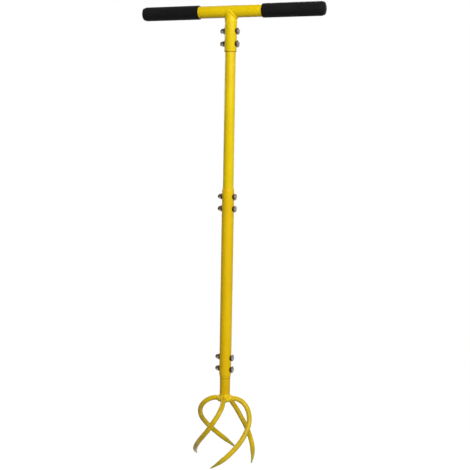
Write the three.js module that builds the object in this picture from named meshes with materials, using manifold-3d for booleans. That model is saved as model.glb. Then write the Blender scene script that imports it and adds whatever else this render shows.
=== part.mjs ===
// Twist tiller: a hand tool whose four curled tines are turned into the soil with a crossbar handle.
// Units are millimetres. Z is up, the tines stand on the floor at z = 0 and the shaft's axis is
// x = y = 0. The crossbar runs along X, and all through bolts run along X too, heads towards +X.
import * as THREE from 'three';
import { mergeVertices } from 'three/addons/utils/BufferGeometryUtils.js';
import Module from 'manifold-3d';

const wasm = await Module();
wasm.setup();

// Shaft tubes. The slim tubes slide into the wide ones, whose bore follows from the slim ones.
const shaftDiameter = 22.2;
const shaftWall = 1.5;
const sleeveWall = 1.4;
const slideClearance = 0.2;

// Lengths that stack up from the floor to the crossbar
const tineRootHeight = 135;
const stubExposed = 39.9;
const lowerShaftLength = 409.8;
const upperShaftExposed = 277.1;
const socketLength = 80.3;

// Bolted joints: from a wide tube's mouth to its first bolt, between bolts, and past the last bolt
const socketBoltInset = 15.8;
const topJointBoltInset = 20;
const bottomJointBoltInset = 19.2;
const boltSpacing = 25.4;
const mateOverrun = 19;
const shaftEndGap = 9;
const mouthTaperLength = 8.8;
const mouthWall = 0.45;

// Carriage bolts with domed heads, washers and cap nuts
const boltDiameter = 6;
const holeClearance = 0.3;
const headDiameter = 14.4;
const headHeight = 3.5;
const headRim = 0.8;
const neckWidth = 6.2;
const neckLength = 2.6;
const shankChamfer = 0.7;
const washerDiameter = 13;
const washerThickness = 1.2;
const nutAcrossFlats = 10;
const nutHexHeight = 4.3;
const nutHeight = 8.8;
const nutChamfer = 0.6;
const nutCrown = 1.9;
const threadClearance = 0.15;
const shankEndGap = 0.4;
const seatGap = 0.15;

// Crossbar and its sleeve grips
const barDiameter = 24.6;
const barWall = 1.5;
const gripSpan = 398.2;
const gripLength = 129.9;
const gripWall = 1.6;
const gripEndWall = 2.4;
const gripFit = 0.3;
const gripEndRounding = 9;
const gripMouthRounding = 1;

// Tines: a bar that leaves the hub level, turns down over a shoulder and curls about the shaft's axis
const tineCount = 4;
const tineRodDiameter = 10.7;
const tineRadius = 60.8;
const shoulderReach = 42.9;
const shoulderDrop = 56.7;
const tineFlare = 4.6;
const tineTipLength = 33;
const tineTipRadius = 1.3;
const tineTipHeight = 0.1;
const firstTineAngle = THREE.MathUtils.degToRad(14.8);
const tineCurl = THREE.MathUtils.degToRad(108.1);
const curlStartShare = 0.18;
const curlPower = 1.59;
const flareStartShare = 0.7;

// Weld beads
const weldGap = 0.3;
const handleWeldLeg = 2.8;
const handleWeldCrown = 1.4;
const hubWeldRadius = 17;
const hubWeldBelow = 8.2;
const hubWeldAbove = 3.4;

// Resolution of round forms, and the extra reach of every cutting tool
const roundSides = 32;
const smallSides = 16;
const tineSteps = 30;
const tineSides = 12;
const overrun = 2;

// Sizes that follow from the ones above
const shaftRadius = shaftDiameter / 2;
const sleeveBore = shaftRadius + slideClearance;
const sleeveRadius = sleeveBore + sleeveWall;
const barRadius = barDiameter / 2;
const rodRadius = tineRodDiameter / 2;
const boltRadius = boltDiameter / 2;
const stubBottom = tineRootHeight + rodRadius + weldGap;
const lowerShaftBottom = stubBottom + stubExposed;
const lowerShaftTop = lowerShaftBottom + lowerShaftLength;
const socketBottom = lowerShaftTop + upperShaftExposed;
const barHeight = socketBottom + socketLength;

const jointBolts = {
  socket: [socketBottom + socketBoltInset, socketBottom + socketBoltInset + boltSpacing],
  middle: [lowerShaftTop - topJointBoltInset - boltSpacing, lowerShaftTop - topJointBoltInset],
  lower: [lowerShaftBottom + bottomJointBoltInset, lowerShaftBottom + bottomJointBoltInset + boltSpacing],
};

const paint = { color: 0xe6b90a, roughness: 0.36, metalness: 0 };
const zinc = { color: 0xaaa39c, roughness: 0.34, metalness: 0.9 };
const sleeve = { color: 0x1b1b1d, roughness: 0.72, metalness: 0 };

// A closed geometry as a solid that can be joined and cut
function toSolid(geometry) {
  const bare = geometry.clone();
  bare.deleteAttribute('normal');
  bare.deleteAttribute('uv');
  const merged = mergeVertices(bare);
  return new wasm.Manifold(
    new wasm.Mesh({
      numProp: 3,
      vertProperties: merged.attributes.position.array,
      triVerts: new Uint32Array(merged.index.array),
    }),
  );
}

function toGeometry(solid) {
  const mesh = solid.getMesh();
  const geometry = new THREE.BufferGeometry();
  geometry.setAttribute('position', new THREE.BufferAttribute(new Float32Array(mesh.vertProperties), 3));
  geometry.setIndex(new THREE.BufferAttribute(new Uint32Array(mesh.triVerts), 1));
  const faceted = geometry.toNonIndexed();
  faceted.computeVertexNormals();
  return faceted;
}

function named(name, geometry, finish) {
  const mesh = new THREE.Mesh(geometry, new THREE.MeshStandardMaterial(finish));
  mesh.name = name;
  return mesh;
}

// A form turned about Z from an outline of [radius, height] points, listed up its outer side
function turned(outline, sides = roundSides) {
  const points = outline.map(([radius, height]) => new THREE.Vector2(radius, height));
  return new THREE.LatheGeometry(points, sides).rotateX(Math.PI / 2);
}

// A tube about Z whose outer side is a list of [radius, height] points from its foot to its head
function tube(outerSide, bore) {
  const foot = outerSide[0][1];
  const head = outerSide[outerSide.length - 1][1];
  return turned([[bore, foot], ...outerSide, [bore, head], [bore, foot]]);
}

function rod(radius, from, to, sides = roundSides) {
  return turned([[0, from], [radius, from], [radius, to], [0, to]], sides);
}

// Points of a quarter of an ellipse, from its widest place to its top, as [radius, height]
function quarterRound(centreRadius, centreHeight, width, height, steps = 5) {
  return Array.from({ length: steps + 1 }, (_, i) => {
    const angle = (Math.PI / 2) * (i / steps);
    return [centreRadius + width * Math.cos(angle), centreHeight + height * Math.sin(angle)];
  });
}

const alongX = (geometry) => geometry.rotateY(Math.PI / 2);

// Bolt holes drilled right through a tube at the given heights
function drilled(geometry, heights) {
  const reach = sleeveRadius + overrun;
  let solid = toSolid(geometry);
  for (const height of heights) {
    const drill = alongX(rod(boltRadius + holeClearance, -reach, reach, smallSides));
    solid = solid.subtract(toSolid(drill.translate(0, 0, height)));
  }
  return toGeometry(solid);
}

// Crossbar: a plain tube, with the socket's top mitred to it and welded all round
function handle() {
  const group = new THREE.Group();
  group.position.z = barHeight;
  const barEnd = gripSpan / 2 - gripEndWall - gripFit;
  const bar = alongX(tube([[barRadius, -barEnd], [barRadius, barEnd]], barRadius - barWall));
  group.add(named('handle_bar', bar, paint));

  const mitre = toSolid(alongX(rod(barRadius + weldGap, -barEnd, barEnd)));
  const socketTube = tube([[sleeveRadius, -socketLength], [sleeveRadius, 0]], sleeveBore);
  const holes = jointBolts.socket.map((height) => height - barHeight);
  const socket = toSolid(drilled(socketTube, holes)).subtract(mitre);
  group.add(named('handle_socket', toGeometry(socket), paint));

  const socketCore = toSolid(rod(sleeveRadius + weldGap, -socketLength, 0));
  const weld = toSolid(saddleBead()).subtract(mitre).subtract(socketCore);
  group.add(named('handle_weld', toGeometry(weld), paint));

  group.add(grip('grip_left', -1), grip('grip_right', 1));
  return group;
}

// A closed ring of weld that follows the line where the socket meets the crossbar
function saddleBead() {
  const rings = 40;
  const sides = 8;
  const positions = [];
  const indices = [];
  for (let i = 0; i < rings; i++) {
    const around = (2 * Math.PI * i) / rings;
    const lateral = sleeveRadius * Math.sin(around);
    const drop = Math.sqrt(Math.max(barRadius ** 2 - lateral ** 2, 0));
    const size = handleWeldCrown + (handleWeldLeg - handleWeldCrown) * Math.cos(around) ** 2;
    for (let j = 0; j < sides; j++) {
      const turn = (2 * Math.PI * j) / sides;
      const out = sleeveRadius + size * Math.cos(turn);
      positions.push(out * Math.cos(around), out * Math.sin(around), size * Math.sin(turn) - drop);
      const next = (i + 1) % rings;
      const side = (j + 1) % sides;
      const [a, b, c, d] = [i * sides + j, next * sides + j, next * sides + side, i * sides + side];
      indices.push(a, b, c, a, c, d);
    }
  }
  const geometry = new THREE.BufferGeometry();
  geometry.setAttribute('position', new THREE.Float32BufferAttribute(positions, 3));
  geometry.setIndex(indices);
  return geometry;
}

// A sleeve grip with a closed, rounded outer end, pushed over one end of the crossbar
function grip(name, side) {
  const bore = barRadius + gripFit;
  const radius = bore + gripWall;
  const mouth = gripSpan / 2 - gripLength;
  const end = gripSpan / 2;
  const floor = end - gripEndWall;
  const outline = [
    [0, floor],
    [bore, floor],
    [bore, mouth],
    [radius - gripMouthRounding, mouth],
    [radius, mouth + gripMouthRounding],
    ...quarterRound(radius - gripEndRounding, end - gripEndRounding, gripEndRounding, gripEndRounding),
    [0, end],
  ];
  const mesh = named(name, alongX(turned(outline)), sleeve);
  mesh.rotation.z = side > 0 ? 0 : Math.PI;
  return mesh;
}

// The upper shaft slides up into the socket and down into the lower shaft
function upperShaft() {
  const foot = jointBolts.middle[0] - mateOverrun;
  const head = barHeight - barRadius - shaftEndGap;
  const body = tube([[shaftRadius, foot], [shaftRadius, head]], shaftRadius - shaftWall);
  return named('upper_shaft', drilled(body, [...jointBolts.socket, ...jointBolts.middle]), paint);
}

// The lower shaft is the wide tube, with both mouths swaged in towards the slim tubes
function lowerShaft() {
  const mouthRadius = sleeveBore + mouthWall;
  const outerSide = [
    [mouthRadius, lowerShaftBottom],
    [sleeveRadius, lowerShaftBottom + mouthTaperLength],
    [sleeveRadius, lowerShaftTop - mouthTaperLength],
    [mouthRadius, lowerShaftTop],
  ];
  const body = tube(outerSide, sleeveBore);
  return named('lower_shaft', drilled(body, [...jointBolts.lower, ...jointBolts.middle]), paint);
}

function tineStub() {
  const head = jointBolts.lower[1] + mateOverrun;
  const body = tube([[shaftRadius, stubBottom], [shaftRadius, head]], shaftRadius - shaftWall);
  return named('tine_stub', drilled(body, jointBolts.lower), paint);
}

// The centreline of one tine that leaves the hub along +X, as it comes down to the floor
class TineCurve extends THREE.Curve {
  constructor(startRadius) {
    super();
    this.start = startRadius;
    this.run = tineRadius - shoulderReach - startRadius;
    this.bendRadius = (shoulderReach + shoulderDrop) / 2;
    this.bend = (this.bendRadius * Math.PI) / 2;
    this.leg = tineRootHeight - shoulderDrop - tineTipHeight;
  }

  getPoint(t, target = new THREE.Vector3()) {
    const distance = t * (this.run + this.bend + this.leg);
    const angle = THREE.MathUtils.clamp((distance - this.run) / this.bendRadius, 0, Math.PI / 2);
    const straightDown = Math.max(distance - this.run - this.bend, 0);
    const level = Math.min(distance, this.run);
    const flare = tineFlare * Math.max((t - flareStartShare) / (1 - flareStartShare), 0) ** 2;
    const radius = this.start + level + shoulderReach * Math.sin(angle) + flare;
    const height = tineRootHeight - shoulderDrop * (1 - Math.cos(angle)) - straightDown;
    const curled = Math.max((t - curlStartShare) / (1 - curlStartShare), 0) ** curlPower;
    const azimuth = -tineCurl * curled;
    return target.set(radius * Math.cos(azimuth), radius * Math.sin(azimuth), height);
  }
}

// A round bar along a curve, closed at both ends, with its radius given by the distance to the tip
function barAlong(curve, radiusAt, sides, steps) {
  const length = curve.getLength();
  const frames = curve.computeFrenetFrames(steps, false);
  const positions = [];
  const indices = [];
  for (let i = 0; i <= steps; i++) {
    const centre = curve.getPointAt(i / steps);
    const radius = radiusAt(length * (1 - i / steps));
    for (let j = 0; j < sides; j++) {
      const turn = (2 * Math.PI * j) / sides;
      const rim = centre.clone();
      rim.addScaledVector(frames.normals[i], radius * Math.cos(turn));
      rim.addScaledVector(frames.binormals[i], radius * Math.sin(turn));
      positions.push(rim.x, rim.y, rim.z);
    }
  }
  for (let i = 0; i < steps; i++) {
    for (let j = 0; j < sides; j++) {
      const [a, b] = [i * sides + j, i * sides + ((j + 1) % sides)];
      indices.push(a, b, b + sides, a, b + sides, a + sides);
    }
  }
  const last = steps * sides;
  for (let j = 1; j < sides - 1; j++) {
    indices.push(0, j + 1, j, last, last + j, last + j + 1);
  }
  const geometry = new THREE.BufferGeometry();
  geometry.setAttribute('position', new THREE.Float32BufferAttribute(positions, 3));
  geometry.setIndex(indices);
  return geometry;
}

function tineBar(extra = 0) {
  const taper = (rodRadius - tineTipRadius) / tineTipLength;
  const radiusAt = (toTip) => Math.min(tineTipRadius + taper * toTip, rodRadius) + extra;
  return barAlong(new TineCurve(rodRadius + weldGap - extra), radiusAt, tineSides, tineSteps);
}

// Four tines round the stub's end, each point cut flat where it stands on the floor
function tineCage() {
  const group = new THREE.Group();
  group.rotation.z = firstTineAngle;
  const reach = tineRadius + tineFlare + tineRodDiameter;
  const below = new THREE.BoxGeometry(2 * reach, 2 * reach, reach).translate(0, 0, -reach / 2);
  const tine = toGeometry(toSolid(tineBar()).subtract(toSolid(below)));
  for (let i = 0; i < tineCount; i++) {
    const mesh = named(`tine_${i + 1}`, tine, paint);
    mesh.rotation.z = (2 * Math.PI * i) / tineCount;
    group.add(mesh);
  }
  group.add(named('hub_weld', hubWeld(), paint));
  return group;
}

// The weld that fills the middle of the hub and webs the tine roots to each other and to the stub
function hubWeld() {
  const top = stubBottom - tineRootHeight + hubWeldAbove;
  const collar = shaftRadius + weldGap;
  const belly = quarterRound(0, 0, hubWeldRadius, -hubWeldBelow).reverse();
  const shoulder = [hubWeldRadius, top - hubWeldAbove];
  const mound = turned([...belly, shoulder, [collar + weldGap, top], [0, top]]);
  const stubSpace = rod(collar, stubBottom - tineRootHeight - weldGap, top + overrun);
  let weld = toSolid(mound).subtract(toSolid(stubSpace));
  const tineSpace = tineBar(weldGap);
  for (let i = 0; i < tineCount; i++) {
    const turnedSpace = tineSpace.clone().rotateZ((2 * Math.PI * i) / tineCount);
    weld = weld.subtract(toSolid(turnedSpace.translate(0, 0, -tineRootHeight)));
  }
  return toGeometry(weld).translate(0, 0, tineRootHeight);
}

// One through bolt with its washer and cap nut; the head stands off the tube on its square neck
function fastener(label, height) {
  const group = new THREE.Group();
  group.position.z = height;
  const neckSeat = sleeveRadius + seatGap;
  const headSeat = neckSeat + neckLength;
  const washerFace = -(sleeveRadius + seatGap);
  const nutFace = washerFace - washerThickness - seatGap;
  const nutEnd = nutFace - nutHeight;
  const boreEnd = nutEnd + nutCrown;
  const shankEnd = boreEnd + shankEndGap;

  const headRadius = headDiameter / 2;
  const boltForm = turned([
    [0, shankEnd],
    [boltRadius - shankChamfer, shankEnd],
    [boltRadius, shankEnd + shankChamfer],
    [boltRadius, headSeat],
    [headRadius, headSeat],
    ...quarterRound(0, headSeat + headRim, headRadius, headHeight - headRim),
  ], smallSides);
  const neck = new THREE.BoxGeometry(neckWidth, neckWidth, neckLength);
  neck.translate(0, 0, neckSeat + neckLength / 2);
  const bolt = toSolid(boltForm).add(toSolid(neck));
  group.add(named(`bolt_${label}`, alongX(toGeometry(bolt)), zinc));

  const washerBore = boltRadius + holeClearance;
  const washer = tube([[washerDiameter / 2, -washerThickness], [washerDiameter / 2, 0]], washerBore);
  group.add(named(`washer_${label}`, alongX(washer.translate(0, 0, washerFace)), zinc));

  group.add(named(`cap_nut_${label}`, alongX(capNut(nutFace, nutEnd, boreEnd)), zinc));
  return group;
}

// A low cap nut: a chamfered hexagon with a domed end and a blind bore, closed towards -Z
function capNut(face, end, boreEnd) {
  const cornerRadius = nutAcrossFlats / Math.sqrt(3);
  const shoulder = face - nutHexHeight;
  const hexagon = new THREE.CylinderGeometry(cornerRadius, cornerRadius, nutHexHeight, 6);
  hexagon.rotateX(Math.PI / 2).translate(0, 0, (face + shoulder) / 2);
  const chamfer = turned([
    [0, shoulder],
    [cornerRadius - nutChamfer, shoulder],
    [cornerRadius, shoulder + nutChamfer],
    [cornerRadius, face],
    [0, face],
  ], smallSides);
  const domeRadius = nutAcrossFlats / 2 - nutChamfer / 2;
  const domeSide = quarterRound(0, shoulder, domeRadius, end - shoulder).reverse();
  const dome = turned([...domeSide, [domeRadius, face - nutChamfer], [0, face - nutChamfer]], smallSides);
  const bore = rod(boltRadius + threadClearance, boreEnd, face + overrun, smallSides);
  const nut = toSolid(hexagon).intersect(toSolid(chamfer)).add(toSolid(dome)).subtract(toSolid(bore));
  return toGeometry(nut);
}

const tiller = new THREE.Group();
tiller.add(handle(), upperShaft(), lowerShaft(), tineStub(), tineCage());
for (const [joint, heights] of Object.entries(jointBolts)) {
  heights.forEach((height, i) => tiller.add(fastener(`${joint}_${i + 1}`, height)));
}

export default tiller;
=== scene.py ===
import math

import bmesh
import bpy
from mathutils import Matrix, Vector, noise as coherent


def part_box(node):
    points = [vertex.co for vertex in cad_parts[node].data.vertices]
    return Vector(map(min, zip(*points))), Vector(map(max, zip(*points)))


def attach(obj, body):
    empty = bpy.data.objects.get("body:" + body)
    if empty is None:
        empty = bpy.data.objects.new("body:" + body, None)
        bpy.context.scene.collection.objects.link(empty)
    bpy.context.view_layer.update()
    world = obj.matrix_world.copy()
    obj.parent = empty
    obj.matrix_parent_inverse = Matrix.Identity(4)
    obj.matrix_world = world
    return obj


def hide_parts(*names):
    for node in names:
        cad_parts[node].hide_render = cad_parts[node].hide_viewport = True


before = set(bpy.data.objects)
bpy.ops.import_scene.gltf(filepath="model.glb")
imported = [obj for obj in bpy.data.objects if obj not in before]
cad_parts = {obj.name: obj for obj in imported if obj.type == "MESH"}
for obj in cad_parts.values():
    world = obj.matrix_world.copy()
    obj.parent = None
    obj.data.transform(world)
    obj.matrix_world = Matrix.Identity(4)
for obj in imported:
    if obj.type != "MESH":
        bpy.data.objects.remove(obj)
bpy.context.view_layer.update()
mm = 0.001
mergeReach = 1e-7     # points nearer than this are one point
sliverReach = 1e-6    # the same after a cut


# Helpers for node trees

class Wire:
    # A node's output, so that the arithmetic in a tree reads as plain sums
    def __init__(self, socket):
        self.socket = socket

    def __add__(self, other):
        return calc("ADD", self, other)

    def __radd__(self, other):
        return calc("ADD", other, self)

    def __sub__(self, other):
        return calc("SUBTRACT", self, other)

    def __rsub__(self, other):
        return calc("SUBTRACT", other, self)

    def __mul__(self, other):
        return calc("MULTIPLY", self, other)

    def __truediv__(self, other):
        return calc("DIVIDE", self, other)

    def __rtruediv__(self, other):
        return calc("DIVIDE", other, self)

    def __pow__(self, power):
        return calc("POWER", self, power)


def treeOf(*values):
    # The tree that the first wire among these values is in
    return next(value.socket.id_data for value in values if isinstance(value, Wire))


def addNode(tree, kind, inputs=None, **settings):
    # Adds a node and gives back its outputs, by number and by name
    node = tree.nodes.new(kind)
    for key, value in settings.items():
        setattr(node, key, value)
    for key, value in (inputs or {}).items():
        if isinstance(value, Wire):
            tree.links.new(value.socket, node.inputs[key])
        else:
            node.inputs[key].default_value = value
    wires = {}
    for i, socket in enumerate(node.outputs):
        wires[i] = Wire(socket)
        wires.setdefault(socket.name, wires[i])
    return wires


def calc(operation, *values):
    return addNode(treeOf(*values), "ShaderNodeMath", dict(enumerate(values)), operation=operation)[0]


def mixColor(factor, first, second):
    inputs = {"Factor": factor, 6: first, 7: second}
    return addNode(treeOf(factor), "ShaderNodeMix", inputs, data_type="RGBA")[2]


def remap(value, low, high, toLow=0.0, toHigh=1.0):
    inputs = {"Value": value, "From Min": low, "From Max": high, "To Min": toLow, "To Max": toHigh}
    return addNode(treeOf(value), "ShaderNodeMapRange", inputs, interpolation_type="SMOOTHSTEP")[0]


def combine(x, y, z):
    return addNode(treeOf(x, y, z), "ShaderNodeCombineXYZ", {0: x, 1: y, 2: z})[0]


def turnFrom(x, y, z):
    return addNode(treeOf(x, y, z), "FunctionNodeEulerToRotation", {0: combine(x, y, z)})[0]


def newGroup(name, kind, inputs, outputs):
    # Gives back the tree and the wires of its inputs
    tree = bpy.data.node_groups.new(name, kind)
    for socketName, socketKind, value in inputs:
        socket = tree.interface.new_socket(socketName, in_out="INPUT", socket_type=socketKind)
        if value is not None:
            socket.default_value = value
    for socketName, socketKind in outputs:
        tree.interface.new_socket(socketName, in_out="OUTPUT", socket_type=socketKind)
    return tree, addNode(tree, "NodeGroupInput")


def newMaterial(name):
    # Gives back an empty material and the place that its patterns read
    material = bpy.data.materials.new(name)
    material.use_nodes = True
    material.node_tree.nodes.clear()
    return material, addNode(material.node_tree, "ShaderNodeTexCoord")["Object"]


# Helpers for meshes and pieces

def finishPiece(mesh, name, material, nodes, sharpAngle=35):
    mesh.name = name
    mesh.shade_smooth()
    mesh.set_sharp_from_angle(angle=math.radians(sharpAngle))
    mesh.materials.clear()
    mesh.materials.append(material)
    piece = bpy.data.objects.new(name, mesh)
    bpy.context.scene.collection.objects.link(piece)
    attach(piece, "root")
    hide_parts(*nodes)


def meshFrom(vertices, faces):
    mesh = bpy.data.meshes.new("draft")
    mesh.from_pydata(vertices, [], faces)
    cleaned = bmesh.new()
    cleaned.from_mesh(mesh)
    bmesh.ops.remove_doubles(cleaned, verts=cleaned.verts, dist=mergeReach)
    stray = [edge for edge in cleaned.edges if not edge.link_faces]
    bmesh.ops.delete(cleaned, geom=stray, context="EDGES")
    bmesh.ops.recalc_face_normals(cleaned, faces=cleaned.faces)
    cleaned.to_mesh(mesh)
    cleaned.free()
    return mesh


def joinMeshes(parts):
    joined = bmesh.new()
    for part in parts:
        joined.from_mesh(part)
    mesh = bpy.data.meshes.new("joined")
    joined.to_mesh(mesh)
    joined.free()
    return mesh


def turnedMesh(outline, sides):
    # Turns a closed outline of (radius, height) points about Z
    ring = [2 * math.pi * i / sides for i in range(sides)]
    vertices = [(r * math.cos(a), r * math.sin(a), z) for a in ring for r, z in outline]
    count = len(outline)
    faces = []
    for i in range(sides):
        for j in range(count):
            here, after = i * count + j, ((i + 1) % sides) * count + j
            up, afterUp = i * count + (j + 1) % count, ((i + 1) % sides) * count + (j + 1) % count
            faces.append((here, after, afterUp, up))
    return meshFrom(vertices, faces)


def arc(centre, size, start, end, steps=6):
    # Points of an elliptic arc, angles in degrees, as (radius, height)
    angles = [math.radians(start + (end - start) * i / steps) for i in range(steps + 1)]
    return [(centre[0] + size[0] * math.cos(a), centre[1] + size[1] * math.sin(a)) for a in angles]


def slope(start, end, steps):
    # Evenly spaced points from start to end
    return [tuple(a + (b - a) * i / steps for a, b in zip(start, end)) for i in range(steps + 1)]


def levels(low, high, step):
    count = max(1, round((high - low) / step))
    return [low + (high - low) * i / count for i in range(count + 1)]


alongX = Matrix.Rotation(math.radians(90), 4, "Y")
print("helpers ready")


# Camera, floor and lamps

cameraView = {
    "distance": 1.7636,    # from the shaft's axis, level
    "height": 0.7197,
    "bearing": 21.934,     # degrees round from the crossbar's square-on view
    "pitch": 7.432,        # looking down
    "pan": 0.519,
    "roll": 1.011,
    "lens": 64.746,        # in millimetres, as the sensor is
    "sensor": 36,
    "nearClip": 50 * mm,
}


def addCamera(view):
    bearing, pitch = math.radians(view["bearing"]), math.radians(view["pitch"])
    pan, roll = math.radians(view["pan"]), math.radians(view["roll"])
    camera = bpy.data.objects.new("camera", bpy.data.cameras.new("camera"))
    camera.data.lens = view["lens"]
    camera.data.sensor_width = view["sensor"]
    camera.data.clip_start = view["nearClip"]
    turn = Matrix.Rotation(bearing, 4, "Z")
    place = Matrix.Translation((0, -view["distance"], view["height"]))
    aim = Matrix.Rotation(-pan, 4, "Z") @ Matrix.Rotation(math.radians(90) - pitch, 4, "X")
    camera.matrix_world = turn @ place @ aim @ Matrix.Rotation(roll, 4, "Z")
    bpy.context.scene.collection.objects.link(camera)
    bpy.context.scene.camera = camera


lamps = {
    # bearing round from the camera, distance, height, width, tallness and power
    "keyLamp": (14, 2.6, 1.9, 2.0, 1.8, 76),
    "stripLamp": (42, 2.9, 1.2, 0.12, 0.5, 12),
    "backLamp": (165, 2.6, 2.1, 1.4, 1.4, 40),
    "backFill": (-135, 2.8, 1.5, 1.2, 1.6, 28),
}
lampAim = 0.75    # height on the shaft's axis that every lamp faces


def addLamps():
    for name, (bearing, distance, height, width, tallness, power) in lamps.items():
        light = bpy.data.lights.new(name, "AREA")
        light.shape = "RECTANGLE"
        light.size = width
        light.size_y = tallness
        light.energy = power
        lamp = bpy.data.objects.new(name, light)
        turn = math.radians(cameraView["bearing"] + bearing)
        lamp.location = (distance * math.sin(turn), -distance * math.cos(turn), height)
        toward = Vector((0, 0, lampAim)) - lamp.location
        lamp.rotation_euler = toward.to_track_quat("-Z", "Y").to_euler()
        bpy.context.scene.collection.objects.link(lamp)


def backdropRays(tree):
    # 1 for rays from the camera, off gloss or through glass, which see the plain background
    rays = addNode(tree, "ShaderNodeLightPath")
    seen = calc("MAXIMUM", rays["Is Camera Ray"], rays["Is Glossy Ray"])
    return calc("MAXIMUM", seen, rays["Is Transmission Ray"])


def addWorld(fill):
    world = bpy.data.worlds.new("studio")
    world.use_nodes = True
    bpy.context.scene.world = world
    tree = world.node_tree
    tree.nodes.clear()
    strength = fill + backdropRays(tree) * (1 - fill)
    white = addNode(tree, "ShaderNodeBackground", {"Color": (1, 1, 1, 1), "Strength": strength})[0]
    addNode(tree, "ShaderNodeOutputWorld", {"Surface": white})


floorLook = {
    "width": 60,
    "color": (0.25, 0.25, 0.25, 1),
    "lift": 0.86,                 # brings the lit floor up to white, so that only its shadows show
    "shadowReach": (0.2, 0.8),    # the floor passes into the white backdrop between these radii
    "drop": -0.2 * mm,            # just under the points that stand on it
}


def addFloor(look):
    half = look["width"] / 2
    corners = [(x * half, y * half, look["drop"]) for x, y in ((-1, -1), (1, -1), (1, 1), (-1, 1))]
    mesh = meshFrom(corners, [(0, 1, 2, 3)])
    mesh.name = "floor"
    material, place = newMaterial("paleFloor")
    tree = material.node_tree
    reach = addNode(tree, "ShaderNodeVectorMath", {0: place}, operation="LENGTH")["Value"]
    far = remap(reach, *look["shadowReach"])
    seen = backdropRays(tree)
    matt = addNode(tree, "ShaderNodeBsdfDiffuse", {"Color": look["color"]})[0]
    lift = addNode(tree, "ShaderNodeEmission", {"Strength": seen * look["lift"]})[0]
    matt = addNode(tree, "ShaderNodeAddShader", {0: matt, 1: lift})[0]
    white = addNode(tree, "ShaderNodeEmission", {"Strength": 1.0})[0]
    blend = addNode(tree, "ShaderNodeMixShader", {0: far * seen, 1: matt, 2: white})[0]
    addNode(tree, "ShaderNodeOutputMaterial", {"Surface": blend})
    mesh.materials.append(material)
    floor = bpy.data.objects.new("floor", mesh)
    bpy.context.scene.collection.objects.link(floor)


addCamera(cameraView)
addLamps()
addWorld(fill=0.04)
addFloor(floorLook)
bpy.context.scene.view_settings.view_transform = "Standard"
print("camera, lamps and floor ready")


# Surface effects that several finishes share

noiseMiddle = 0.5    # what the noise textures average
mottleNoise = {
    "fine": {"Detail": 2.0, "Roughness": 0.45},
    "slow": {"Detail": 4.0, "Roughness": 0.55},
    "driftSpan": (0.3, 0.7),    # noise values that the drift passes between
}
scuffNoise = {
    "patches": {"Detail": 6.0, "Roughness": 0.7, "Distortion": 0.6},
    "level": 0.72,         # noise value from which the surface is scuffed, with a share of nothing
    "shareReach": 0.4,     # how far a share of one lowers it
    "softness": 0.06,
}
seamNoise = {"Scale": 900.0, "Detail": 2.0}
boltShadowNoise = {"Scale": 420.0, "Detail": 3.0}


def effectGroup(name, sizes, results):
    # A group that reads a place and some sizes, and gives out values
    inputs = [("Place", "NodeSocketVector", None)]
    inputs += [(key, "NodeSocketFloat", value) for key, value in sizes.items()]
    return newGroup(name, "ShaderNodeTree", inputs, [(result, "NodeSocketFloat") for result in results])


def noiseAt(place, look):
    return addNode(treeOf(place), "ShaderNodeTexNoise", {"Vector": place, **look})[0]


def mottleGroup():
    # Slow drift of a finish over its surface, and the fine grain of how it was laid on
    sizes = {"Grain size": 1 * mm, "Drift size": 50 * mm}
    tree, given = effectGroup("surfaceMottle", sizes, ["Grain", "Drift"])
    grain = noiseAt(given["Place"], {"Scale": 1.0 / given["Grain size"], **mottleNoise["fine"]})
    drift = noiseAt(given["Place"], {"Scale": 1.0 / given["Drift size"], **mottleNoise["slow"]})
    drift = remap(drift, *mottleNoise["driftSpan"])
    addNode(tree, "NodeGroupOutput", {"Grain": grain, "Drift": drift})
    return tree


def scuffGroup():
    # Thin scattered rubs and specks from handling
    tree, given = effectGroup("handlingScuffs", {"Size": 10 * mm, "Share": 0.1}, ["Mask"])
    patch = noiseAt(given["Place"], {"Scale": 1.0 / given["Size"], **scuffNoise["patches"]})
    edge = scuffNoise["level"] - given["Share"] * scuffNoise["shareReach"]
    mask = remap(patch, edge, edge + scuffNoise["softness"])
    addNode(tree, "NodeGroupOutput", {"Mask": mask})
    return tree


def seamGroup():
    # A band of settled dirt and shade on either side of a joint at one height
    tree, given = effectGroup("jointShade", {"Level": 0.0, "Reach": 2 * mm}, ["Mask"])
    height = addNode(tree, "ShaderNodeSeparateXYZ", {0: given["Place"]})["Z"]
    away = calc("ABSOLUTE", height - given["Level"])
    reach = given["Reach"] * (noiseAt(given["Place"], seamNoise) + noiseMiddle)
    addNode(tree, "NodeGroupOutput", {"Mask": remap(away, 0.0, reach, 1.0, 0.0)})
    return tree


def boltShadowGroup():
    # Painted shadow on the paint round a bolt that runs along X at one height, for the shade that its head
    # and neck throw on the tube
    sizes = {"Level": 0.0, "Reach": 5 * mm, "Fade": 1 * mm}
    tree, given = effectGroup("boltShadow", sizes, ["Mask"])
    spot = addNode(tree, "ShaderNodeSeparateXYZ", {0: given["Place"]})
    rise = spot["Z"] - given["Level"]
    ragged = (noiseAt(given["Place"], boltShadowNoise) - noiseMiddle) * given["Fade"]
    away = calc("SQRT", spot["Y"] * spot["Y"] + rise * rise) + ragged
    mask = remap(away, given["Reach"], given["Reach"] + given["Fade"], 1.0, 0.0)
    addNode(tree, "NodeGroupOutput", {"Mask": mask})
    return tree


mottle = mottleGroup()
scuffs = scuffGroup()
jointShade = seamGroup()
boltShadow = boltShadowGroup()


def useEffect(group, place, sizes):
    return addNode(treeOf(place), "ShaderNodeGroup", {"Place": place, **sizes}, node_tree=group)


def bumpFrom(height, distance):
    inputs = {"Height": height, "Distance": distance, "Strength": 1.0}
    return addNode(treeOf(height), "ShaderNodeBump", inputs)[0]


def finishMaterial(material, inputs):
    surface = addNode(material.node_tree, "ShaderNodeBsdfPrincipled", inputs)[0]
    addNode(material.node_tree, "ShaderNodeOutputMaterial", {"Surface": surface})
    return material


# Paint

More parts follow.
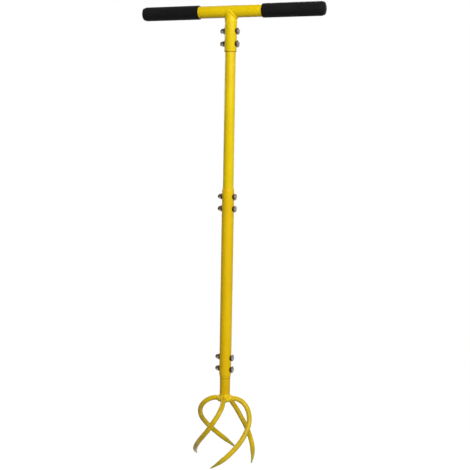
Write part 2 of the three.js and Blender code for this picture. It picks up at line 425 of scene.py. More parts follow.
paintLook = {
    "color": (0.90, 0.665, 0.0035, 1),
    "deepColor": (0.85, 0.605, 0.003, 1),    # where the coat lies thicker
    "dirtColor": (0.42, 0.17, 0.004, 1),
    # colour of the painted shadow round each bolt
    "shadeColor": (0.045, 0.022, 0.004, 1),
    "soiledColor": (0.50, 0.42, 0.02, 1),    # where the points go through soil
    "steelColor": (0.30, 0.27, 0.20, 1),
    "steelMetal": 0.85,
    "peelSize": 2.1 * mm,
    "peelDepth": 0.03 * mm,
    "driftSize": 45 * mm,
    "roughness": (0.22, 0.32),
    "specular": 0.12,
    "scuffSize": 12 * mm,
    "scuffShare": 0.12,
    "scuffRoughness": 0.08,       # what a scuff adds
    "seamReach": 1.5 * mm,
    "seamShare": 0.75,
    "seamRoughness": 0.2,         # what the dirt at a joint adds
    # reach and fade of the painted shadow round each bolt
    "boltShadowReach": 5.2 * mm,
    "boltShadowFade": 1.6 * mm,
    "soiledReach": (4 * mm, 60 * mm),    # from a point's end up the tine
    "bareReach": (1.5 * mm, 6 * mm),
    "wearReach": 20 * mm,         # how unevenly the wear climbs the tine
    "wearNoise": {"Scale": 260.0, "Detail": 5.0, "Roughness": 0.65},
}
# The crossbar's coat is painted lighter, as painted light on the bar, the lower pieces' batch is a warmer
# yellow, the stub's coat is painted darker, as painted shade towards the bottom, and the tines' coat is
# patchy
litBarCoat = dict(paintLook, color=(0.96, 0.68, 0.0035, 1), deepColor=(0.91, 0.635, 0.003, 1))
lowerCoat = dict(paintLook, color=(0.90, 0.59, 0.0035, 1), deepColor=(0.85, 0.54, 0.003, 1),
                 roughness=(0.34, 0.44))
# painted darker than the lower shaft, as painted shade towards the bottom
shadedStubCoat = dict(lowerCoat, color=(0.835, 0.54, 0.0035, 1), deepColor=(0.79, 0.49, 0.003, 1))
tineCoat = dict(paintLook, color=(0.82, 0.58, 0.0035, 1), deepColor=(0.66, 0.45, 0.003, 1),
                driftSize=20 * mm, roughness=(0.18, 0.28), specular=0.15)
hubCoat = dict(tineCoat, color=(0.88, 0.61, 0.004, 1), deepColor=(0.78, 0.51, 0.004, 1),
               roughness=(0.30, 0.42))


def paintMaterial(name, look, seams=(), bolts=(), wornTips=False):
    material, place = newMaterial(name)
    coat = useEffect(mottle, place, {"Grain size": look["peelSize"], "Drift size": look["driftSize"]})
    scuffedAndLit = useEffect(scuffs, place, {"Size": look["scuffSize"], "Share": look["scuffShare"]})["Mask"]
    color = mixColor(coat["Drift"], look["color"], look["deepColor"])
    rough = remap(coat["Drift"], 0.0, 1.0, *look["roughness"]) + scuffedAndLit * look["scuffRoughness"]
    for level in seams:
        dirt = useEffect(jointShade, place, {"Level": level, "Reach": look["seamReach"]})["Mask"]
        color = mixColor(dirt * look["seamShare"], color, look["dirtColor"])
        rough = rough + dirt * look["seamRoughness"]
    # Painted shadow round each bolt on the tube
    for level in bolts:
        stainAndShadow = {"Level": level, "Reach": look["boltShadowReach"], "Fade": look["boltShadowFade"]}
        color = mixColor(useEffect(boltShadow, place, stainAndShadow)["Mask"], color, look["shadeColor"])
    inputs = {"Roughness": rough, "Specular IOR Level": look["specular"]}
    if wornTips:
        # The attribute toTip is the distance along a tine from its point
        toTip = addNode(material.node_tree, "ShaderNodeAttribute", attribute_name="toTip")["Fac"]
        ragged = toTip + (noiseAt(place, look["wearNoise"]) - noiseMiddle) * look["wearReach"]
        color = mixColor(remap(ragged, *look["soiledReach"], 1.0, 0.0), color, look["soiledColor"])
        bare = remap(ragged, *look["bareReach"], 1.0, 0.0)
        color = mixColor(bare, color, look["steelColor"])
        inputs["Metallic"] = bare * look["steelMetal"]
    inputs["Base Color"] = color
    inputs["Normal"] = bumpFrom(coat["Grain"], look["peelDepth"])
    return finishMaterial(material, inputs)


# Black sleeves and zinc plate

sleeveLook = {
    "color": (0.009, 0.009, 0.0093, 1),
    "bloomColor": (0.016, 0.016, 0.0165, 1),
    "bloomShare": 0.5,
    "poreSize": 0.75 * mm,
    "poreDepth": 0.05 * mm,
    "driftSize": 30 * mm,
    "dustSize": 6 * mm,
    "dustShare": 0.2,
    "roughness": (0.46, 0.58),
    "specular": 0.04,
}


def sleeveMaterial(name, look):
    material, place = newMaterial(name)
    skin = useEffect(mottle, place, {"Grain size": look["poreSize"], "Drift size": look["driftSize"]})
    dust = useEffect(scuffs, place, {"Size": look["dustSize"], "Share": look["dustShare"]})["Mask"]
    bloom = (skin["Drift"] + dust) * look["bloomShare"]
    return finishMaterial(material, {
        "Base Color": mixColor(bloom, look["color"], look["bloomColor"]),
        "Roughness": remap(skin["Drift"], 0.0, 1.0, *look["roughness"]),
        "Normal": bumpFrom(skin["Grain"], look["poreDepth"]),
        "Specular IOR Level": look["specular"],
    })


zincLook = {
    "color": (0.40, 0.35, 0.33),
    "dullColor": (0.17, 0.15, 0.14),
    # colour of the painted shade on necks, washers, nut tops and head rims
    "shadeColor": (0.02, 0.013, 0.007, 1),
    "tint": 1.0,                         # lightens both plate colours
    "rimShadeShare": 0.0,                     # how much painted shade lies towards a head's rim
    "rimShadeReach": (5.4 * mm, 7.3 * mm),    # where it thickens, from the bolt's axis
    "grainSize": 0.6 * mm,
    "driftSize": 6 * mm,
    "driftShare": 0.6,
    "stainSize": 3 * mm,
    "stainShare": 0.5,
    "roughness": (0.28, 0.5),
    "ringSpacing": 0.42 * mm,
    "ringDepth": 0.012 * mm,
    "ringShare": 0.5,                    # how much the turning marks count beside the grain
}
headLook = dict(zincLook, rimShadeShare=0.75)
nutLook = dict(zincLook, tint=1.25)


def zincMaterial(name, look):
    # The attribute fromAxis is a point's distance from its own bolt's axis, which turning marks follow,
    # and paintedShade is its share of painted shade, for the shade under the heads, on the washers and on
    # the nut tops
    material, place = newMaterial(name)
    tree = material.node_tree
    plate = useEffect(mottle, place, {"Grain size": look["grainSize"], "Drift size": look["driftSize"]})
    stainAndShadow = useEffect(scuffs, place, {"Size": look["stainSize"], "Share": look["stainShare"]})["Mask"]
    mask = calc("MAXIMUM", plate["Drift"] * look["driftShare"], stainAndShadow)
    bright, dull = [tuple(look["tint"] * c for c in look[key]) + (1,) for key in ("color", "dullColor")]
    fromAxis = addNode(tree, "ShaderNodeAttribute", attribute_name="fromAxis")["Fac"]
    paintedShade = addNode(tree, "ShaderNodeAttribute", attribute_name="paintedShade")["Fac"]
    shadeMask = calc("MAXIMUM", paintedShade, remap(fromAxis, *look["rimShadeReach"]) * look["rimShadeShare"])
    rings = calc("SINE", fromAxis * (2 * math.pi / look["ringSpacing"])) * look["ringShare"]
    return finishMaterial(material, {
        "Base Color": mixColor(shadeMask, mixColor(mask, bright, dull), look["shadeColor"]),
        "Roughness": remap(mask, 0.0, 1.0, *look["roughness"]),
        "Normal": bumpFrom(rings + plate["Grain"], look["ringDepth"]),
        "Metallic": 1.0,
    })


print("finishes ready")


# Where the frame holds the pieces

def radiusOf(node):
    low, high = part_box(node)
    return (high.y - low.y) / 2


def heightsOf(node):
    low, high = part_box(node)
    return low.z, high.z


barHeight = sum(heightsOf("handle_bar")) / 2
ontoBar = Matrix.Translation((0, 0, barHeight)) @ alongX
boltLabels = [f"{joint}_{i}" for joint in ("socket", "middle", "lower") for i in (1, 2)]
boltHeights = [sum(heightsOf(f"washer_{label}")) / 2 for label in boltLabels]
tube = {
    "sides": 160,
    "slimWall": 1.5 * mm,
    "wideWall": 1.4 * mm,
    "barWall": 1.5 * mm,
    "lip": 0.35 * mm,           # rounding of a cut edge
    "mouthWall": 0.35 * mm,     # what the narrowed mouths keep of the wall
    "mouthLip": 0.21 * mm,
    "mouthFit": 0.06 * mm,      # between a narrowed mouth and the slim tube
    "mouthHug": 1.6 * mm,       # straight part of a mouth, before it swells out
    "mouthTaper": 8.8 * mm,
    "mouthSteps": 16,
    "boltHole": 6.6 * mm,
    "drillSides": 48,
    "weldGap": 0.3 * mm,
    "cutReach": 30 * mm,        # how far a cutting tool reaches either side of the axis
}
slimRadius = radiusOf("upper_shaft")
wideRadius = radiusOf("lower_shaft")
barRadius = radiusOf("handle_bar")
socketFoot = heightsOf("handle_socket")[0]
lowerFoot, lowerHead = heightsOf("lower_shaft")
handlePaint = paintMaterial("handlePaint", litBarCoat)
socketPaint = paintMaterial("socketPaint", paintLook, seams=[socketFoot], bolts=boltHeights[:2])
upperPaint = paintMaterial("upperShaftPaint", paintLook, seams=[socketFoot])
lowerPaint = paintMaterial("lowerShaftPaint", lowerCoat, seams=[lowerFoot], bolts=boltHeights[2:])
stubPaint = paintMaterial("stubPaint", shadedStubCoat, seams=[lowerFoot])
hubPaint = paintMaterial("hubPaint", hubCoat)
tinePaint = paintMaterial("tinePaint", tineCoat, wornTips=True)


def applyModifiers(piece):
    # Bakes a working object's modifiers into a plain mesh and drops the object
    bpy.context.view_layer.update()
    seen = piece.evaluated_get(bpy.context.evaluated_depsgraph_get())
    mesh = bpy.data.meshes.new_from_object(seen)
    bpy.data.objects.remove(piece)
    return mesh


def workObject(mesh):
    piece = bpy.data.objects.new("work", mesh)
    bpy.context.scene.collection.objects.link(piece)
    return piece


def cutMesh(mesh, cutters):
    piece = workObject(mesh)
    helpers = [workObject(cutter) for cutter in cutters]
    for helper in helpers:
        cut = piece.modifiers.new("cut", "BOOLEAN")
        cut.operation = "DIFFERENCE"
        cut.solver = "EXACT"
        cut.object = helper
    result = applyModifiers(piece)
    for helper in helpers:
        bpy.data.objects.remove(helper)
    # The near-equal points that cuts leave become one, so that no sliver stays
    healed = bmesh.new()
    healed.from_mesh(result)
    bmesh.ops.remove_doubles(healed, verts=healed.verts, dist=sliverReach)
    bmesh.ops.triangulate(healed, faces=healed.faces, ngon_method="BEAUTY")
    healed.to_mesh(result)
    healed.free()
    return result


def rodMesh(radius, low, high, sides):
    return turnedMesh([(0, low), (radius, low), (radius, high), (0, high)], sides)


def drillAt(height):
    drill = rodMesh(tube["boltHole"] / 2, -tube["cutReach"], tube["cutReach"], tube["drillSides"])
    drill.transform(Matrix.Translation((0, 0, height)) @ alongX)
    return drill


def barCutter(radius):
    # A rod along the crossbar's axis, for cutting
    rod = rodMesh(radius, -tube["cutReach"], tube["cutReach"], tube["sides"])
    rod.transform(ontoBar)
    return rod


def tubeOutline(outerSide, bore, lip):
    # outerSide runs up from foot to head; both cut edges are rounded on the outside
    (footRadius, foot), (headRadius, head) = outerSide[0], outerSide[-1]
    footLip = arc((footRadius - lip, foot + lip), (lip, lip), -90, 0)
    headLip = arc((headRadius - lip, head - lip), (lip, lip), 0, 90)
    return [(bore, foot)] + footLip + list(outerSide[1:-1]) + headLip + [(bore, head)]


def plainOutline(radius, wall, low, high):
    return tubeOutline([(radius, low), (radius, high)], radius - wall, tube["lip"])


def finishShaft(name, node, outline, material, cutters=()):
    # Turns a tube, drills it for each bolt that passes through and makes it a piece
    low, high = heightsOf(node)
    drills = [drillAt(height) for height in boltHeights if low < height < high]
    mesh = cutMesh(turnedMesh(outline, tube["sides"]), drills + list(cutters))
    finishPiece(mesh, name, material, [node])


def mouthSwell(mouth):
    # Outer side of a swaged mouth as (radius, rise from the mouth)
    side = [(mouth, 0)]
    for i in range(tube["mouthSteps"] + 1):
        share = i / tube["mouthSteps"]
        swollen = share * share * (3 - 2 * share)
        rise = tube["mouthHug"] + (tube["mouthTaper"] - tube["mouthHug"]) * share
        side.append((mouth + (wideRadius - mouth) * swollen, rise))
    return side


def makeShaft():
    for node, material in (("upper_shaft", upperPaint), ("tine_stub", stubPaint)):
        outline = plainOutline(slimRadius, tube["slimWall"], *heightsOf(node))
        finishShaft(f"{node}_tube", node, outline, material)

    wideBore = wideRadius - tube["wideWall"]
    mouthBore = slimRadius + tube["mouthFit"]
    swell = mouthSwell(mouthBore + tube["mouthWall"])
    outerSide = [(radius, lowerFoot + rise) for radius, rise in swell]
    outerSide += [(radius, lowerHead - rise) for radius, rise in reversed(swell)]
    innerSide = [(mouthBore, lowerHead), (wideBore, lowerHead - tube["mouthTaper"]),
                 (wideBore, lowerFoot + tube["mouthTaper"]), (mouthBore, lowerFoot)]
    outline = tubeOutline(outerSide, mouthBore, tube["mouthLip"])[1:-1] + innerSide
    finishShaft("lower_shaft_tube", "lower_shaft", outline, lowerPaint)
    print("shaft tubes ready")


def makeHandle():
    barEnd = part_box("handle_bar")[1].x
    bar = turnedMesh(plainOutline(barRadius, tube["barWall"], -barEnd, barEnd), tube["sides"])
    bar.transform(ontoBar)
    finishPiece(bar, "crossbar_tube", handlePaint, ["handle_bar"])

    mitre = barCutter(barRadius + tube["weldGap"])
    outline = plainOutline(wideRadius, tube["wideWall"], socketFoot, barHeight)
    finishShaft("socket_tube", "handle_socket", outline, socketPaint, [mitre])
    print("handle ready")


# Helpers for Geometry Nodes trees

def newTree(name, sizes, objects=()):
    # A tree with a named input for each size and object, and one for its material
    kinds = {int: "NodeSocketInt", float: "NodeSocketFloat"}
    inputs = [("Geometry", "NodeSocketGeometry", None), ("Material", "NodeSocketMaterial", None)]
    inputs += [(key, "NodeSocketObject", None) for key in objects]
    inputs += [(key, kinds[type(value)], value) for key, value in sizes.items()]
    return newGroup(name, "GeometryNodeTree", inputs, [("Geometry", "NodeSocketGeometry")])


def sweepCircle(path, sides, size, capped):
    # Draws a round section of the given size along a path
    circle = {"Resolution": sides, "Radius": 1.0}
    section = addNode(treeOf(path), "GeometryNodeCurvePrimitiveCircle", circle)["Curve"]
    sweep = {"Curve": path, "Profile Curve": section, "Scale": size, "Fill Caps": capped}
    return addNode(treeOf(path), "GeometryNodeCurveToMesh", sweep)[0]


def placeAt(points, form, turn):
    inputs = {"Points": points, "Instance": form, "Rotation": turn}
    return addNode(treeOf(points), "GeometryNodeInstanceOnPoints", inputs)[0]


def finishTree(geometry, material):
    # The export drops instances, so every tree makes them real at its end
    tree = treeOf(geometry)
    real = addNode(tree, "GeometryNodeRealizeInstances", {"Geometry": geometry})[0]
    dressed = addNode(tree, "GeometryNodeSetMaterial", {"Geometry": real, "Material": material})[0]
    addNode(tree, "NodeGroupOutput", {0: dressed})
    return tree


def growFrom(tree, name, values, start=None):
    # Runs the tree on a working object and returns the plain mesh
    piece = workObject(start or bpy.data.meshes.new("seed"))
    grow = piece.modifiers.new(name, "NODES")
    grow.node_group = tree
    sockets = {s.name: s.identifier for s in tree.interface.items_tree if s.in_out == "INPUT"}
    for key, value in values.items():
        grow[sockets[key]] = value
    return applyModifiers(piece)


# Handle weld: a rippled bead, blended into the crossbar and the socket

handleBead = {
    "Tube radius": wideRadius,
    "Bar radius": barRadius,
    "Height": barHeight,
    "Leg": 2.0 * mm,           # bead size beside the socket, along the bar
    "Crown": 1.0 * mm,         # bead size at the saddle's two high points
    "Ripples": 34,
    "Ripple depth": 0.2 * mm,
    "Heavy side": math.radians(-40),    # the pass that ended here laid on more
    "Heavy share": 0.3,
    "Steps": 480,
    "Sides": 24,
}
handleBlend = {
    "skin": 0.08 * mm,         # how proud of the tubes the blend starts
    "dive": 0.5 * mm,          # how far it passes under them where it ends
    "barReach": 19 * mm,
    "socketReach": 25 * mm,    # down from the bar's axis
    "runOut": 3 * mm,
    "wall": 1.0 * mm,
    "grain": 0.47 * mm,
    "smoothing": 20,
    "sharpAngle": 60,
}
smoothFactor = 0.5             # share of the way that a smoothing pass moves each point


def beadTree():
    # A ring of weld along the line where a tube meets the bar that lies across its end
    tree, given = newTree("saddleBead", handleBead)
    around = addNode(tree, "GeometryNodeSplineParameter")["Factor"] * (2 * math.pi)
    along = calc("COSINE", around)
    x = given["Tube radius"] * along
    y = given["Tube radius"] * calc("SINE", around)
    drop = calc("SQRT", calc("MAXIMUM", given["Bar radius"] ** 2.0 - y * y, 0.0))
    circle = {"Resolution": given["Steps"], "Radius": 1.0}
    ring = addNode(tree, "GeometryNodeCurvePrimitiveCircle", circle)["Curve"]
    path = {"Geometry": ring, "Position": combine(x, y, given["Height"] - drop)}
    path = addNode(tree, "GeometryNodeSetPosition", path)[0]
    size = given["Crown"] + (given["Leg"] - given["Crown"]) * (along * along)
    size = size + calc("SINE", around * given["Ripples"]) * given["Ripple depth"]
    heavy = calc("COSINE", around - given["Heavy side"]) * given["Heavy share"]
    bead = sweepCircle(path, given["Sides"], size * (1.0 + heavy), False)
    return finishTree(bead, given["Material"])


def blendMesh(parts, grain, smoothing):
    # Fuses overlapping forms and rounds the hollows between them, as run weld metal does
    piece = workObject(joinMeshes(parts))
    remesh = piece.modifiers.new("fuse", "REMESH")
    remesh.mode = "VOXEL"
    remesh.voxel_size = grain
    smooth = piece.modifiers.new("smooth", "SMOOTH")
    smooth.iterations = smoothing
    smooth.factor = smoothFactor
    return applyModifiers(piece)


def makeHandleWeld():
    blend, sides = handleBlend, tube["sides"]
    bead = growFrom(beadTree(), "handleBead", dict(handleBead, Material=handlePaint))
    reach, run = blend["barReach"], blend["runOut"]
    proud, under = barRadius + blend["skin"], barRadius - blend["dive"]
    outline = [(0, -reach), (under, -reach), (proud, run - reach)]
    outline += [(proud, reach - run), (under, reach), (0, reach)]
    barSleeve = turnedMesh(outline, sides)
    barSleeve.transform(ontoBar)
    foot = barHeight - blend["socketReach"]
    proud, under = wideRadius + blend["skin"], wideRadius - blend["dive"]
    outline = [(0, foot), (under, foot), (proud, foot + run), (proud, barHeight), (0, barHeight)]
    socketSleeve = turnedMesh(outline, sides)
    mesh = blendMesh([bead, barSleeve, socketSleeve], blend["grain"], blend["smoothing"])
    barBore = barCutter(barRadius - blend["wall"])
    socketBore = rodMesh(wideRadius - blend["wall"], barHeight - tube["cutReach"], barHeight, sides)
    mesh = cutMesh(mesh, [barBore, socketBore])
    finishPiece(mesh, "crossbar_weld_bead", handlePaint, ["handle_weld"],
                blend["sharpAngle"])
    print("handle weld ready")


# The four tines

rodRadius = 5.35 * mm
tine = {
    "Root height": 135 * mm,
    "Cage radius": 60.8 * mm,
    "Shoulder reach": 42.9 * mm,
    "Shoulder drop": 56.7 * mm,
    "Start": 2 * mm,                 # the bar's hidden end inside the hub weld
    "Hub reach": rodRadius + tube["weldGap"],
    "Flare": 4.6 * mm,
    "Flare start": 0.7,
    "Curl": math.radians(108.1),
    "Curl start": 0.18,
    "Curl power": 1.59,
    "Tip height": 0.1 * mm,
    "Rod radius": rodRadius,
    "Tip radius": 1.15 * mm,
    "Tip length": 33 * mm,
    "Tip easing": 1.6 * mm,          # rounds the start of the drawn point
    "First angle": math.radians(14.8),
    "Count": 4,
    "Steps": 240,
    "Sides": 48,
}


def tineRoute(tree, given):
    # One bar runs level from the hub, turns down over its shoulder and curls round the shaft's axis
    def shareFrom(share, start):
        return calc("MAXIMUM", (share - start) / (1.0 - start), 0.0)

    share = addNode(tree, "GeometryNodeSplineParameter")["Factor"]
    run = given["Cage radius"] - given["Shoulder reach"] - given["Hub reach"]
    bendRadius = (given["Shoulder reach"] + given["Shoulder drop"]) * 0.5
    bend = bendRadius * (math.pi / 2)
    leg = given["Root height"] - given["Shoulder drop"] - given["Tip height"]
    total = run + bend + leg
    buried = given["Hub reach"] - given["Start"]
    distance = share * (total + buried) - buried
    travelled = distance / total
    turned = calc("MAXIMUM", (distance - run) / bendRadius, 0.0)
    turned = calc("MINIMUM", turned, math.pi / 2)
    straight = calc("MAXIMUM", distance - run - bend, 0.0)
    flare = shareFrom(travelled, given["Flare start"]) ** 2.0 * given["Flare"]
    level = given["Hub reach"] + calc("MINIMUM", distance, run) + flare
    radius = level + given["Shoulder reach"] * calc("SINE", turned)
    fall = given["Shoulder drop"] * (1.0 - calc("COSINE", turned)) + straight
    curled = shareFrom(travelled, given["Curl start"]) ** given["Curl power"]
    azimuth = given["First angle"] - curled * given["Curl"]
    x, y = radius * calc("COSINE", azimuth), radius * calc("SINE", azimuth)
    return combine(x, y, given["Root height"] - fall)


def tineTree():
    tree, given = newTree("curledTines", tine)
    seed = addNode(tree, "GeometryNodeCurvePrimitiveLine", {"Start": (0, 0, 0), "End": (1, 0, 0)})[0]
    fine = addNode(tree, "GeometryNodeResampleCurve", {"Curve": seed, "Count": given["Steps"]})[0]
    path = {"Geometry": fine, "Position": tineRoute(tree, given)}
    path = addNode(tree, "GeometryNodeSetPosition", path)[0]
    length = addNode(tree, "GeometryNodeCurveLength", {"Curve": path})[0]
    toTip = length - addNode(tree, "GeometryNodeSplineParameter")["Length"]
    taper = (given["Rod radius"] - given["Tip radius"]) / given["Tip length"]
    size = given["Tip radius"] + taper * toTip
    size = calc("SMOOTH_MIN", size, given["Rod radius"], given["Tip easing"])
    marked = {"Geometry": path, "Name": "toTip", "Value": toTip}
    marked = addNode(tree, "GeometryNodeStoreNamedAttribute", marked, data_type="FLOAT", domain="POINT")[0]
    bar = sweepCircle(marked, given["Sides"], size, True)

    # Every point stands on the floor, so what would reach lower is ground flat
    here = addNode(tree, "GeometryNodeInputPosition")[0]
    here = addNode(tree, "ShaderNodeSeparateXYZ", {0: here})
    ground = combine(here["X"], here["Y"], calc("MAXIMUM", here["Z"], 0.0))
    bar = addNode(tree, "GeometryNodeSetPosition", {"Geometry": bar, "Position": ground})[0]

    stations = addNode(tree, "GeometryNodePoints", {"Count": given["Count"]})[0]
    turn = addNode(tree, "GeometryNodeInputIndex")[0] * (2 * math.pi) / given["Count"]
    return finishTree(placeAt(stations, bar, turnFrom(0, 0, turn)), given["Material"])


def makeTines():
    mesh = growFrom(tineTree(), "curledTines", dict(tine, Material=tinePaint))
    nodes = [f"tine_{i + 1}" for i in range(tine["Count"])]
    finishPiece(mesh, "curled_tines", tinePaint, nodes)
    print("tines ready")


# Hub weld: one blended mass that webs the tine roots to each other and to the stub

hub = {
    "core": 9 * mm,            # the arms round the tines are even as far as this
    "reach": 27 * mm,          # how far the weld follows each tine
    "proud": 1.1 * mm,         # how thick it lies round a tine near the middle
    "dive": 0.3 * mm,          # how far inside the tine it ends
    "moundRadius": 18.5 * mm,
    "moundDepth": 8.9 * mm,
    "moundSteps": 12,
    "shoulderRadius": 17.5 * mm,
    "shoulderRise": 3.4 * mm,  # above the tines' centre
    "shoulderSteps": 8,
    "stubRise": 8 * mm,        # above the stub's foot
    "stubDive": 0.4 * mm,
    "lumpSize": 5 * mm,
    "lumpDepth": 0.35 * mm,
    "armStep": 1 * mm,
    "armSides": 40,
    "sides": 64,
    "grain": 0.5 * mm,
    "smoothing": 26,
    "sharpAngle": 180,
}


def tineDrop(reach):
    # How far a tine's centre has come down where it is this far from the shaft's axis
    over = (reach - tine["Cage radius"]) / tine["Shoulder reach"] + 1
    return tine["Shoulder drop"] * (1 - math.cos(math.asin(max(over, 0))))


def hubArm(angle):
    side = []
    for x in levels(0, hub["reach"], hub["armStep"]):
        share = max(0, (x - hub["core"]) / (hub["reach"] - hub["core"]))
        over = hub["proud"] * (1 - share) ** 2 - hub["dive"] * share ** 2
        side.append((rodRadius + over, x))
    arm = turnedMesh([(0, 0)] + side + [(0, hub["reach"])], hub["armSides"])
    arm.transform(alongX)
    for vertex in arm.vertices:
        vertex.co.z += tine["Root height"] - tineDrop(vertex.co.x)
    arm.transform(Matrix.Rotation(angle, 4, "Z"))
    return arm


def makeHubWeld():
    root, shoulder = tine["Root height"], hub["shoulderRadius"]
    belly = arc((0, root), (hub["moundRadius"], hub["moundDepth"]), -90, 0, hub["moundSteps"])
    top = heightsOf("tine_stub")[0] + hub["stubRise"]
    hollow = (shoulder - slimRadius + hub["stubDive"], top - root - hub["shoulderRise"])
    collar = arc((shoulder, top), hollow, -90, -180, hub["shoulderSteps"]) + [(0, top)]
    turns = [tine["First angle"] + 2 * math.pi * i / tine["Count"] for i in range(tine["Count"])]
    parts = [turnedMesh(belly + collar, hub["sides"])] + [hubArm(angle) for angle in turns]
    mesh = blendMesh(parts, hub["grain"], hub["smoothing"])
    normals = [normal.vector.copy() for normal in mesh.vertex_normals]
    for vertex, normal in zip(mesh.vertices, normals):
        vertex.co += hub["lumpDepth"] * coherent.noise(vertex.co / hub["lumpSize"]) * normal
    finishPiece(mesh, "hub_weld_mass", hubPaint, ["hub_weld"], hub["sharpAngle"])
    print("hub weld ready")


makeShaft()
makeHandle()
makeHandleWeld()
makeTines()
makeHubWeld()


# Bolts, washers and cap nuts

fastener = {
    "headRadius": 7.2 * mm,
    "headHeight": 3.5 * mm,
    "headRim": 0.8 * mm,
    "headSteps": 28,
    "rimRound": 0.45 * mm,
    "neckWidth": 6.2 * mm,
    "neckLength": 2.6 * mm,
    "neckRound": 0.5 * mm,
    "overlap": 0.3 * mm,       # what joined forms share
    "shankRadius": 3 * mm,
    "shankChamfer": 0.6 * mm,
    "shankSides": 48,
    "seatGap": 0.15 * mm,
    "washerRadius": 6.5 * mm,
    "washerThickness": 1.2 * mm,
    "washerRound": 0.22 * mm,
    "washerFit": 0.3 * mm,
    "nutFlats": 10 * mm,
    "nutHexHeight": 4.3 * mm,
    "nutHeight": 8.8 * mm,
    "nutFit": 0.15 * mm,
    "nutBore": 0.4 * mm,       # the bore is blind, and the shank runs on inside the nut
    "footChamfer": (0.42 * mm, 0.56 * mm),      # along and across, with its steps below
    "footSteps": 8,
    "topChamfer": (0.7 * mm, 0.805 * mm),
    "topSteps": 10,
    "flatsGap": 0.1 * mm,      # between a chamfer's end and the plain flats
    "domeInset": 0.3 * mm,     # how far the dome's foot stands in from the flats
    "domeLedge": 0.12 * mm,
    "domeSteps": 20,
    # share of painted shade on the washers and the nuts
    "shadeShare": 0.86,
    "shadeFadeFrom": (2 * mm, -1 * mm),    # heights over a nut's axis between which the painted shade leaves its flats, the lower ones lighter as a painted reflection of the floor
    "sides": 96,
    "sharpAngle": 32,
    "boltTurn": 0.7,           # largest random turns, in radians
    "washerTurn": 1.0,
    "nutTurn": 0.4,
    "seed": 7,
}


def markFastener(mesh, shadeAt):
    # Turning marks follow each point's distance from the bolt's axis, which is X here
    marks = {
        "fromAxis": [math.hypot(v.co.y, v.co.z) for v in mesh.vertices],
        "paintedShade": [shadeAt(v.co) for v in mesh.vertices],
    }
    for name, values in marks.items():
        mesh.attributes.new(name, "FLOAT", "POINT").data.foreach_set("value", values)
    return mesh


def neckMesh(size, low, high):
    # The square neck under a head, with rounded corners
    soft = size["neckRound"]
    middle = size["neckWidth"] / 2 - soft
    corners = []
    for quarter, (x, y) in enumerate(((1, 1), (-1, 1), (-1, -1), (1, -1))):
        corners += arc((x * middle, y * middle), (soft, soft), 90 * quarter, 90 * quarter + 90)
    count = len(corners)
    vertices = [(x, y, z) for z in (low, high) for x, y in corners]
    faces = [(i, (i + 1) % count, count + (i + 1) % count, count + i) for i in range(count)]
    faces += [tuple(range(count)), tuple(range(count, 2 * count))]
    return meshFrom(vertices, faces)


def boltMesh(size):
    seat = wideRadius + size["seatGap"]
    under = seat + size["neckLength"]
    rim, lift = size["rimRound"], size["headRim"]
    dome = (size["headRadius"], size["headHeight"] - lift)
    side = arc((size["headRadius"] - rim, under + rim), (rim, rim), -90, 0)
    side += arc((0, under + lift), dome, 0, 90, size["headSteps"])
    head = turnedMesh([(0, under)] + side, size["sides"])
    neck = neckMesh(size, seat, under + size["overlap"])
    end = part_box("bolt_socket_1")[0].x
    shank, chamfer, top = size["shankRadius"], size["shankChamfer"], seat + size["overlap"]
    side = [(shank - chamfer, end), (shank, end + chamfer), (shank, top)]
    stem = turnedMesh([(0, end)] + side + [(0, top)], size["shankSides"])
    mesh = joinMeshes([head, neck, stem])
    mesh.transform(alongX)
    # The neck and the head's underside take full painted shade, for the shade under the head
    return markFastener(mesh, lambda spot: float(spot.x < under + mergeReach))


def washerMesh(size):
    face = -(wideRadius + size["seatGap"])
    back, soft = face - size["washerThickness"], size["washerRound"]
    radius, bore = size["washerRadius"], size["shankRadius"] + size["washerFit"]
    outline = [(bore, face), (bore, back)]
    outline += arc((radius - soft, back + soft), (soft, soft), -90, 0)
    outline += arc((radius - soft, face - soft), (soft, soft), 0, 90)
    mesh = turnedMesh(outline, size["sides"])
    mesh.transform(alongX)
    # Every washer takes the same painted shade
    return markFastener(mesh, lambda spot: size["shadeShare"])


def nutRows(size, face):
    # A cap nut's surface from its blind bore out to the dome's top, as (height, largest radius)
    shoulder = face - size["nutHexHeight"]
    flat = size["nutFlats"] / 2
    corner = flat / math.cos(math.pi / 6)
    foot, footWidth = size["footChamfer"]
    top, topWidth = size["topChamfer"]
    dome, bore = flat - size["domeInset"], size["shankRadius"] + size["nutFit"]
    rows = [(face - size["nutBore"], 0.0), (face - size["nutBore"], bore), (face, bore)]
    rows += slope((face, corner - footWidth), (face - foot, corner), size["footSteps"])
    rows += [(face - foot - size["flatsGap"], math.inf), (shoulder + top + size["flatsGap"], math.inf)]
    rows += slope((shoulder + top, corner), (shoulder, corner - topWidth), size["topSteps"])
    rows += [(shoulder, dome + size["domeLedge"])]
    cap = arc((0, shoulder), (dome, face - size["nutHeight"] - shoulder), 0, 90, size["domeSteps"])
    return rows + [(height, radius) for radius, height in cap]


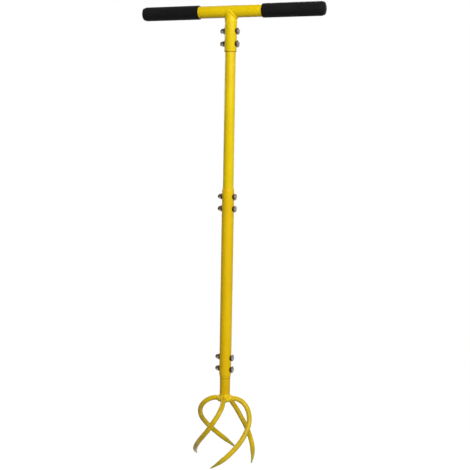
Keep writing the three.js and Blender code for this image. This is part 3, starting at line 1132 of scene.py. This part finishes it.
def nutMesh(size):
    # Round the hexagon each row takes the smaller of its flats' and its own radius, as a chamfer does
    face = -(wideRadius + 2 * size["seatGap"] + size["washerThickness"])
    sides, sixth = size["sides"], math.pi / 3
    rows = nutRows(size, face)
    vertices = []
    for height, limit in rows:
        for i in range(sides):
            angle = 2 * math.pi * i / sides
            fromFlat = (angle + sixth / 2) % sixth - sixth / 2
            radius = min(size["nutFlats"] / 2 / math.cos(fromFlat), limit)
            vertices.append((radius * math.cos(angle), radius * math.sin(angle), height))
    faces = []
    for j in range(len(rows) - 1):
        for i in range(sides):
            here, after = j * sides + i, j * sides + (i + 1) % sides
            faces.append((here, after, after + sides, here + sides))
    mesh = meshFrom(vertices, faces)
    mesh.transform(alongX)

    def nutShadeAt(spot):
        # Painted shade on the dome and the upper flats, fading down the flats so that the lower ones stay
        # lighter, as a painted reflection of the pale floor
        high, low = size["shadeFadeFrom"]
        onFlats = spot.x > face - size["nutHexHeight"] + mergeReach
        scuffedAndLit = min(max((high - spot.z) / (high - low), 0), 1) * onFlats
        return size["shadeShare"] * (1 - scuffedAndLit)

    return markFastener(mesh, nutShadeAt)


def stationTree():
    # Sets one fastener at each station, turned at random about X as a spanner would leave it
    tree, given = newTree("boltStations", {"Turn": 1.0, "Seed": 0}, ["Fastener"])
    points = addNode(tree, "GeometryNodeMeshToPoints", {"Mesh": given["Geometry"]})[0]
    source = {"Object": given["Fastener"], "As Instance": True}
    source = addNode(tree, "GeometryNodeObjectInfo", source)["Geometry"]
    draw = addNode(tree, "FunctionNodeRandomValue", {"Seed": given["Seed"]}, data_type="FLOAT")[1]
    placed = placeAt(points, source, turnFrom(draw * given["Turn"], 0, 0))
    return finishTree(placed, given["Material"])


def makeFasteners():
    headZinc = zincMaterial("headZinc", headLook)
    nutZinc = zincMaterial("nutZinc", nutLook)
    kinds = {
        "carriage_bolts": (boltMesh, "bolt", headZinc, fastener["boltTurn"]),
        "washers": (washerMesh, "washer", nutZinc, fastener["washerTurn"]),
        "cap_nuts": (nutMesh, "cap_nut", nutZinc, fastener["nutTurn"]),
    }
    tree = stationTree()
    for order, (name, (build, node, material, turn)) in enumerate(kinds.items()):
        source = workObject(build(fastener))
        stations = meshFrom([(0, 0, height) for height in boltHeights], [])
        values = {"Fastener": source, "Turn": turn, "Seed": fastener["seed"] + order, "Material": material}
        mesh = growFrom(tree, name, values, stations)
        bpy.data.objects.remove(source)
        nodes = [f"{node}_{label}" for label in boltLabels]
        finishPiece(mesh, name, material, nodes, fastener["sharpAngle"])
    print("fasteners ready")


makeFasteners()


# Grips

grip = {
    "wall": 1.6 * mm,
    "endWall": 2.4 * mm,
    "endRound": 9 * mm,
    "endSteps": 18,
    "mouthRound": 1.1 * mm,
    "sleeveStep": 3 * mm,
    "sides": 144,
}


def makeGrips():
    material = sleeveMaterial("blackSleeve", sleeveLook)
    low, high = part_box("grip_right")
    mouth, end = low.x, high.x
    radius = (high.z - low.z) / 2
    bore, inside = radius - grip["wall"], end - grip["endWall"]
    edge, soft = grip["mouthRound"], grip["endRound"]
    outline = [(0, inside), (bore, inside), (bore, mouth)]
    outline += arc((radius - edge, mouth + edge), (edge, edge), -90, 0)
    outline += [(radius, x) for x in levels(mouth + edge, end - soft, grip["sleeveStep"])[1:-1]]
    outline += arc((radius - soft, end - soft), (soft, soft), 0, 90, grip["endSteps"])
    outline += [(0, end)]
    for side, turn in (("right", 0), ("left", math.pi)):
        mesh = turnedMesh(outline, grip["sides"])
        mesh.transform(Matrix.Translation((0, 0, barHeight)) @ Matrix.Rotation(turn, 4, "Z") @ alongX)
        finishPiece(mesh, f"grip_sleeve_{side}", material, [f"grip_{side}"])
    print("grips ready")


makeGrips()
